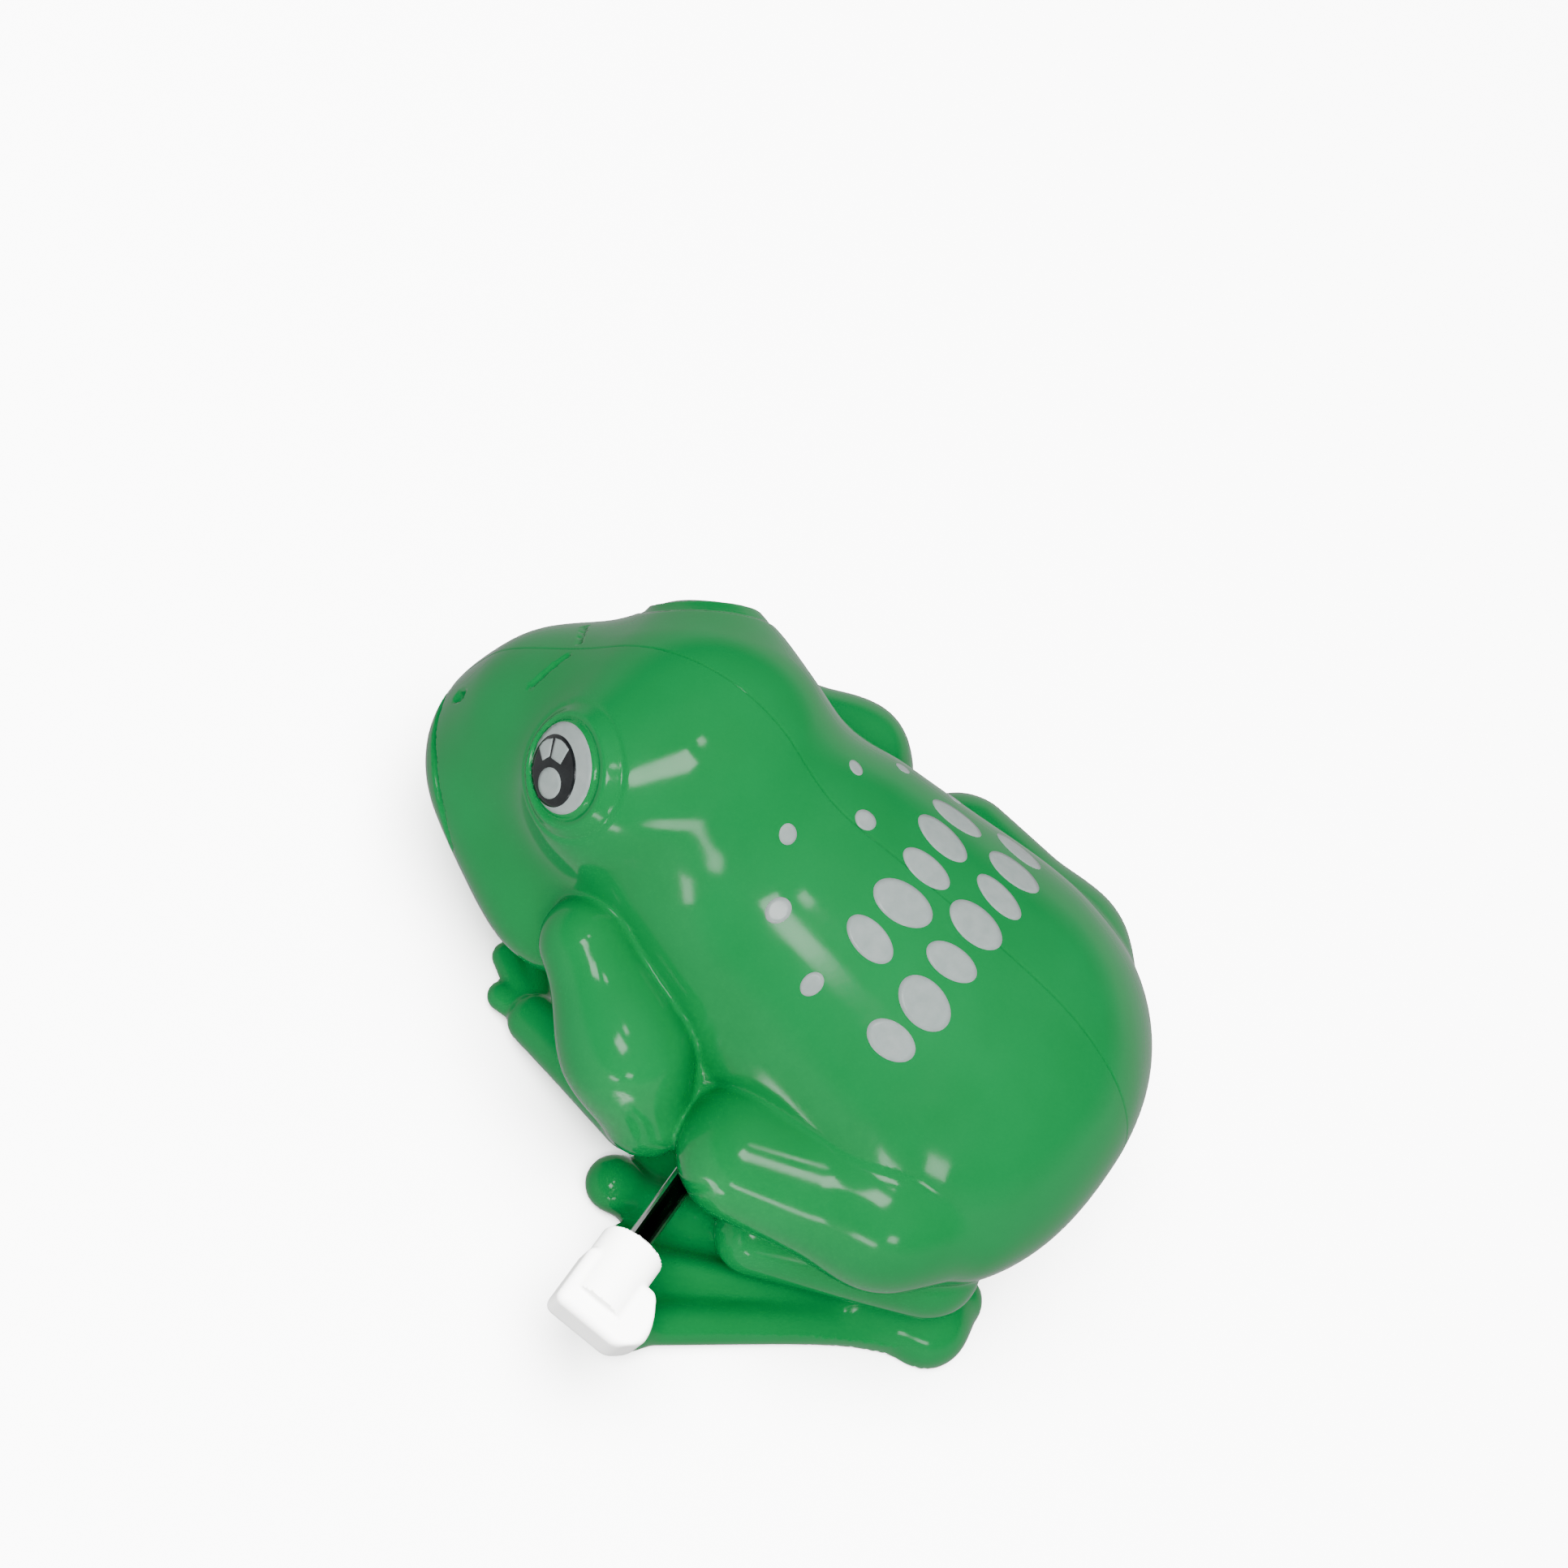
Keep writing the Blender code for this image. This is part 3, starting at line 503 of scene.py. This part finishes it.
class Nodes:
    """A short way to write a node tree."""

    def __init__(self, name):
        self.material = bpy.data.materials.new(name)
        self.material.use_nodes = True
        self.tree = self.material.node_tree
        self.shader = self.tree.nodes["Principled BSDF"]
        self.coords = self.tree.nodes.new("ShaderNodeTexCoord").outputs["Object"]

    def add(self, kind, inputs=(), **settings):
        node = self.tree.nodes.new(kind)
        for key, value in settings.items():
            setattr(node, key, value)
        for key, value in dict(inputs).items():
            if isinstance(value, bpy.types.NodeSocket):
                self.tree.links.new(value, node.inputs[key])
            else:
                node.inputs[key].default_value = value
        return node

    def noise(self, scale, detail=3.0, roughness=0.5):
        inputs = {"Vector": self.coords, "Scale": scale, "Detail": detail, "Roughness": roughness}
        return self.add("ShaderNodeTexNoise", inputs).outputs["Fac"]

    def ramp(self, value, stops):
        node = self.add("ShaderNodeValToRGB", {"Fac": value})
        band = node.color_ramp
        while len(band.elements) < len(stops):
            band.elements.new(0.5)
        for element, (position, colour) in zip(band.elements, stops):
            element.position = position
            element.color = (*colour, 1) if len(colour) == 3 else colour
        return node.outputs["Color"]

    def span(self, value, low, high):
        """Noise, which is mostly between 0.3 and 0.7, stretched from low to high."""
        inputs = {"Value": value, "From Min": 0.3, "From Max": 0.7, "To Min": low, "To Max": high}
        return self.add("ShaderNodeMapRange", inputs).outputs["Result"]

    def to(self, socket, value):
        if isinstance(value, bpy.types.NodeSocket):
            self.tree.links.new(value, self.shader.inputs[socket])
        else:
            self.shader.inputs[socket].default_value = value

    def bumps(self, height, strength, distance):
        node = self.add("ShaderNodeBump", {"Height": height, "Strength": strength, "Distance": distance})
        self.tree.links.new(node.outputs["Normal"], self.shader.inputs["Normal"])


FINE_BUMP = 0.00001  # metres


def moulded_plastic(name, dark, light, rough=(0.09, 0.16)):
    n = Nodes(name)
    n.to("Base Color", n.ramp(n.noise(70, 4), [(0.3, dark), (0.7, light)]))
    n.to("Roughness", n.span(n.noise(240, 5), *rough))
    n.to("Specular IOR Level", 0.36)
    n.bumps(n.noise(1500, 2), 0.25, FINE_BUMP)
    return n.material


def metal(name, dark, light, rough):
    n = Nodes(name)
    stretched = n.add("ShaderNodeMapping", {"Vector": n.coords, "Scale": (1, 14, 14)}).outputs["Vector"]
    grain = n.add("ShaderNodeTexNoise", {"Vector": stretched, "Scale": 900.0, "Detail": 3.0}).outputs["Fac"]
    n.to("Metallic", 1.0)
    n.to("Base Color", n.ramp(grain, [(0.3, dark), (0.7, light)]))
    n.to("Roughness", n.span(n.noise(300, 4), *rough))
    n.bumps(grain, 0.15, FINE_BUMP)
    return n.material


def shaft_metal_painted_reflection():
    """Polished steel with painted reflections: a bright band along its front side and a dark top, painted
    into the base colour from the surface normal, as a rod among dark things looks.
    """
    n = Nodes("shaft_steel_painted_reflection")
    normal = n.add("ShaderNodeTexCoord").outputs["Normal"]
    forward = n.add("ShaderNodeSeparateXYZ", {"Vector": normal}).outputs["Y"]
    grain = n.span(n.noise(700, 3), -0.04, 0.04)
    mixed = n.add("ShaderNodeMath", {0: forward, 1: grain}, operation="ADD").outputs[0]
    across = n.add("ShaderNodeMapRange", {"Value": mixed, "From Min": -1.0, "From Max": 1.0})
    # Painted reflection: the base colour is bright where the surface faces the front (-Y), near black on
    # top and underneath, and dim green where it faces back.
    painted_reflection_bands = n.ramp(across.outputs["Result"], [
        (0.0, (0.8, 0.8, 0.8)), (0.1, (0.75, 0.75, 0.74)), (0.17, (0.02, 0.02, 0.02)),
        (0.8, (0.012, 0.012, 0.012)), (0.94, (0.28, 0.34, 0.3)), (1.0, (0.4, 0.45, 0.42)),
    ])
    n.to("Metallic", 1.0)
    n.to("Base Color", painted_reflection_bands)
    n.to("Roughness", n.span(n.noise(300, 4), 0.16, 0.28))
    return n.material


def ink(name, dark, light, rough=(0.12, 0.22)):
    n = Nodes(name)
    n.to("Base Color", n.ramp(n.noise(900, 4), [(0.3, dark), (0.7, light)]))
    n.to("Roughness", n.span(n.noise(400, 4), *rough))
    n.bumps(n.noise(2200, 2), 0.2, FINE_BUMP)
    return n.material


GREEN = moulded_plastic("green_plastic_look", (0.0, 0.305, 0.066), (0.0, 0.35, 0.082))
WHITE = moulded_plastic("white_plastic_look", (0.86, 0.86, 0.84), (0.91, 0.91, 0.89), rough=(0.3, 0.42))
CASE = moulded_plastic("case_plastic_look", (0.70, 0.70, 0.66), (0.77, 0.77, 0.73), rough=(0.35, 0.5))
NYLON = moulded_plastic("nylon_look", (0.78, 0.77, 0.68), (0.86, 0.85, 0.78), rough=(0.4, 0.55))
STEEL = metal("steel_look", (0.50, 0.50, 0.49), (0.66, 0.66, 0.64), (0.22, 0.38))
SPRING = metal("spring_steel_look", (0.22, 0.23, 0.26), (0.34, 0.35, 0.38), (0.25, 0.4))
SHAFT_PAINTED_REFLECTION = shaft_metal_painted_reflection()
INK_WHITE = ink("white_ink", (0.46, 0.55, 0.53), (0.54, 0.62, 0.60))
INK_BLACK = ink("black_ink", (0.010, 0.012, 0.014), (0.022, 0.026, 0.028))

LOOKS = {
    "green_plastic": GREEN, "white_plastic": WHITE, "case_plastic": CASE,
    "nylon": NYLON, "steel": STEEL, "spring_steel": SPRING,
}
for part in frame["record"]["subparts"]:
    node = NODES[part["node"]]
    node.data.materials.clear()
    node.data.materials.append(LOOKS[part["material_slot"]])
# The shaft gets the steel whose reflections are painted into its base colour.
NODES["winding_shaft"].data.materials[0] = SHAFT_PAINTED_REFLECTION

# ---------------------------------------------------------------- body halves, feet and key

# Where the shells' grid is halved: the eye, the nostril, the crease and the mouth, with a radius each
FINE_SPOTS = (
    (EYE_BALL + EYE_OUT * 6.0, 7.2), ((4.1, -47.0, 18.4), 2.2), ((2.2, -41.0, 28.6), 2.6),
    (MOUTH[1], 3.4), (MOUTH[2], 3.6), (MOUTH[3], 3.0), (MOUTH[0], 3.0),
)
for side, name in ((1, "left"), (-1, "right")):
    whole = body_half(side)
    low = (-1.0, -51.5, -1.0) if side > 0 else (-28.0, -51.5, -1.0)
    high = (28.0, 31.0, 44.0) if side > 0 else (1.0, 31.0, 44.0)
    fine = [((c[0] * side, c[1], c[2]), r) for c, r in FINE_SPOTS]
    mesh = moulded("shell_" + name, whole, body_skin, low, high, CELL, fine, cut_x=PARTING_X * side)
    shell = new_object("body_shell_" + name, mesh, GREEN, "root")
    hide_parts("body_" + name)

for side, name in ((1, "left"), (-1, "right")):
    def foot_field(p, side=side):
        return foot(p * np.array((side, 1, 1)))
    low = (7.0, -12.0, -1.5) if side > 0 else (-40.0, -12.0, -1.5)
    high = (40.0, 32.0, 7.5) if side > 0 else (-7.0, 32.0, 7.5)
    mesh = moulded("webbed_" + name, foot_field, foot_field, low, high, CELL)
    webbed = new_object("webbed_foot_" + name, mesh, GREEN, "feet")
    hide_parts("foot_" + name)

KEY_CELL = 0.25
mesh = moulded("key", winding_key, winding_key, (32, -9, 6), (45, 5, 17), KEY_CELL)
key = new_object("turn_key", mesh, WHITE, "winder")
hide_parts("winding_key")


# ---------------------------------------------------------------- printed marks

START_HEIGHT = 12  # mm above the eye, from where its marks are laid down
MARCH_STEPS = 60
FILM = 0.09  # mm of ink
WHITE_LIFT, IRIS_LIFT, TOP_LIFT, BACK_LIFT = 0.03, 0.06, 0.09, 0.04  # mm above the skin


def onto_skin(points, direction, lift):
    """Marches points along a direction until they are lift mm above the skin."""
    p = points.copy()
    for _ in range(MARCH_STEPS):
        p = p + direction * ((body_skin(p) - lift) * 0.8)[:, None]
    return p


def printed(name, outline, rings, plane, lift, material):
    """A thin film of ink: an outline in a plane, filled with rings and laid on the skin along -out."""
    origin, across, up, out = plane
    outline = np.array(outline)
    middle = outline.mean(0)
    count = len(outline)
    flat = [middle]
    for ring in range(1, rings + 1):
        flat.extend(middle + (outline - middle) * ring / rings)
    flat = np.array(flat)
    faces = [(0, 1 + i, 1 + (i + 1) % count) for i in range(count)]
    for ring in range(rings - 1):
        base = 1 + ring * count
        for i in range(count):
            j = (i + 1) % count
            faces.append((base + i, base + count + i, base + count + j, base + j))
    start = origin + flat[:, :1] * across + flat[:, 1:] * up + out * START_HEIGHT
    top = onto_skin(start, -out, lift)
    mesh = new_mesh(name, top, faces)
    obj = new_object(name, mesh, material, "root")
    film = obj.modifiers.new("film", "SOLIDIFY")
    film.thickness = FILM * MM
    film.offset = -1
    normals = slope_of(body_skin, top)
    normals /= np.linalg.norm(normals, axis=1, keepdims=True)
    mesh.polygons.foreach_set("use_smooth", np.ones(len(mesh.polygons), bool))
    if Vector(mesh.polygons[0].normal).dot(Vector(normals[0])) < 0:
        mesh.flip_normals()
    mesh.update()
    return obj


def ellipse(centre, semi, angle=0.0, count=56):
    turn = np.linspace(0, 2 * math.pi, count, endpoint=False)
    along = semi[0] * np.cos(turn)
    across = semi[1] * np.sin(turn)
    x = centre[0] + along * math.cos(angle) - across * math.sin(angle)
    y = centre[1] + along * math.sin(angle) + across * math.cos(angle)
    return np.stack([x, y], -1)


def filled_outline(corners, per_side=5):
    """The corners with points added along each side."""
    result = []
    for a, b in zip(corners, corners[1:] + corners[:1]):
        for step in range(per_side):
            t = step / per_side
            result.append((a[0] * (1 - t) + b[0] * t, a[1] * (1 - t) + b[1] * t))
    return result


for side, name in ((1, "left"), (-1, "right")):
    flip = np.array((side, 1, 1))
    plane = (EYE_BALL * flip, EYE_A * flip, EYE_C * flip, EYE_OUT * flip)
    for mark, outline, rings, lift, material in (
        ("eye_white_", ellipse(WHITE_CENTRE, WHITE_SEMI, WHITE_ANGLE, 72), 9, WHITE_LIFT, INK_WHITE),
        ("eye_iris_", ellipse(IRIS_CENTRE, IRIS_SEMI, IRIS_ANGLE, 64), 8, IRIS_LIFT, INK_BLACK),
        ("eye_glint_", ellipse(GLINT_CENTRE, GLINT_SEMI, 0, 40), 4, TOP_LIFT, INK_WHITE),
        ("eye_pane_front_", filled_outline(PANE_FRONT), 4, TOP_LIFT, INK_WHITE),
        ("eye_pane_rear_", filled_outline(PANE_REAR), 4, TOP_LIFT, INK_WHITE),
    ):
        printed(mark + name, outline, rings, plane, lift, material)

X, Y, Z = np.eye(3)
ABOVE_BACK = (40 * Z, X, Y, Z)
# Small round dots: x, y and radius
DOTS = (
    (-11.4, -11.4, 0.75), (-14.0, -5.6, 0.8), (-5.3, -15.1, 0.8), (-1.1, -11.6, 1.05),
    (5.4, -16.3, 0.85), (10.2, -12.7, 1.05), (12.9, -6.3, 0.9),
)
for number, (x, y, radius) in enumerate(DOTS, 1):
    outline = ellipse((x, y), (radius, radius), 0, 28)
    printed(f"back_dot_{number}", outline, 3, ABOVE_BACK, BACK_LIFT, INK_WHITE)
# Two rows of oval spots: the row's y, then each spot's x and half sizes
SPOT_ROWS = (
    (-4.7, ((-9.8, 1.5, 2.8), (-5.6, 1.8, 2.9), (-1.2, 1.5, 2.6), (3.2, 1.9, 3.0), (7.6, 1.4, 2.6))),
    (2.2, (
        (-13.0, 1.5, 2.6), (-8.8, 1.8, 2.9), (-4.4, 1.5, 2.7), (0.0, 1.9, 2.9),
        (4.5, 1.5, 2.6), (8.8, 1.8, 2.8), (12.6, 1.3, 2.4),
    )),
)
number = 0
for row_y, spots in SPOT_ROWS:
    for x, half_x, half_y in spots:
        number += 1
        tilt = 0.16 * math.sin(2.1 * number)
        y = row_y + 0.25 * math.cos(1.7 * number)
        outline = ellipse((x, y), (half_x, half_y), tilt, 40)
        printed(f"back_spot_{number}", outline, 5, ABOVE_BACK, BACK_LIFT, INK_WHITE)

# ---------------------------------------------------------------- floor, camera and light

def stage_material(name, colour):
    n = Nodes(name)
    tone = tuple(c * 0.985 for c in colour)
    n.to("Base Color", n.ramp(n.noise(3, 2), [(0.3, tone), (0.7, colour)]))
    n.to("Roughness", 0.9)
    n.to("Specular IOR Level", 0.0)
    return n.material


FLOOR_Z = -0.0001
floor_mesh = bpy.data.meshes.new("floor")
floor_corners = [(-4, -4, FLOOR_Z), (4, -4, FLOOR_Z), (4, 4, FLOOR_Z), (-4, 4, FLOOR_Z)]
floor_mesh.from_pydata(floor_corners, [], [(0, 1, 2, 3)])
floor_mesh.materials.append(stage_material("floor_paper", (0.93, 0.93, 0.925)))
floor = bpy.data.objects.new("floor", floor_mesh)
bpy.context.scene.collection.objects.link(floor)
floor.visible_diffuse = False
floor.visible_glossy = False

ELEVATION = math.radians(54)
AZIMUTH = math.radians(-3)
ROLL = math.radians(42)
CAMERA_AT = Vector((139.05, -26.53, 226.50)) * MM
outward = math.cos(ELEVATION)
back = Vector((outward * math.cos(AZIMUTH), outward * math.sin(AZIMUTH), math.sin(ELEVATION)))
level = Vector((0, 0, 1)).cross(back).normalized()
upward = back.cross(level)
right = level * math.cos(ROLL) + upward * math.sin(ROLL)
top = upward * math.cos(ROLL) - level * math.sin(ROLL)
camera_data = bpy.data.cameras.new("camera")
camera_data.lens = 60.56
camera_data.sensor_width = 36
camera_data.clip_start = 0.01
camera = bpy.data.objects.new("camera", camera_data)
placement = Matrix((right, top, back)).transposed().to_4x4()
placement.translation = CAMERA_AT
camera.matrix_world = placement
bpy.context.scene.collection.objects.link(camera)
bpy.context.scene.camera = camera


LIT_POINT = Vector((0, -0.008, 0.02))


def area_light(name, azimuth, elevation, distance, size, power, glossy):
    """A rectangular light that faces the frog. Azimuth 0 is in front of it and 90 on its left."""
    a = math.radians(azimuth)
    e = math.radians(elevation)
    direction = Vector((math.sin(a) * math.cos(e), -math.cos(a) * math.cos(e), math.sin(e)))
    data = bpy.data.lights.new(name, "AREA")
    data.shape = "RECTANGLE"
    data.size, data.size_y = size
    data.energy = power
    obj = bpy.data.objects.new(name, data)
    obj.location = LIT_POINT + direction * distance
    obj.rotation_euler = direction.to_track_quat("Z", "Y").to_euler()
    obj.visible_glossy = glossy
    bpy.context.scene.collection.objects.link(obj)
    return obj


# Large soft lights, which do not show in the gloss, and small ones that make the highlights
area_light("overhead", 60, 75, 1.3, (1.6, 1.6), 15, False)
area_light("side_fill", 110, 35, 1.4, (1.4, 1.0), 7, False)
area_light("far_fill", -110, 42, 1.4, (1.4, 1.4), 9, False)
area_light("window_left", 80, 52, 0.9, (0.22, 0.20), 1.6, True)
area_light("window_right", 121, 18, 0.9, (0.15, 0.12), 0.5, True)
area_light("low_strip", 103, 3, 0.9, (0.20, 0.09), 0.5, True)
area_light("zenith", 72, 70, 0.9, (0.09, 0.09), 0.25, True)
# A light that falls on the white floor and the white key only
floor_light = area_light("floor_wash", 40, 80, 1.5, (1.6, 1.6), 330, False)
only_floor = bpy.data.collections.new("only_floor")
only_floor.objects.link(floor)
only_floor.objects.link(key)
floor_light.light_linking.receiver_collection = only_floor

# A dim sky over a pale horizon, which the glossy sides reflect as they would the floor
world = bpy.data.worlds.new("studio")
bpy.context.scene.world = world
world.use_nodes = True
tree = world.node_tree
background = tree.nodes["Background"]
height = tree.nodes.new("ShaderNodeSeparateXYZ")
coords = tree.nodes.new("ShaderNodeTexCoord")
ramp = tree.nodes.new("ShaderNodeValToRGB")
tree.links.new(coords.outputs["Generated"], height.inputs[0])
tree.links.new(height.outputs["Z"], ramp.inputs["Fac"])
tree.links.new(ramp.outputs["Color"], background.inputs["Color"])
pale, dim = ramp.color_ramp.elements
pale.position = 0.0
pale.color = (1, 1, 1, 1)
dim.position = 0.28
dim.color = (0.01, 0.01, 0.01, 1)
background.inputs["Strength"].default_value = 0.55
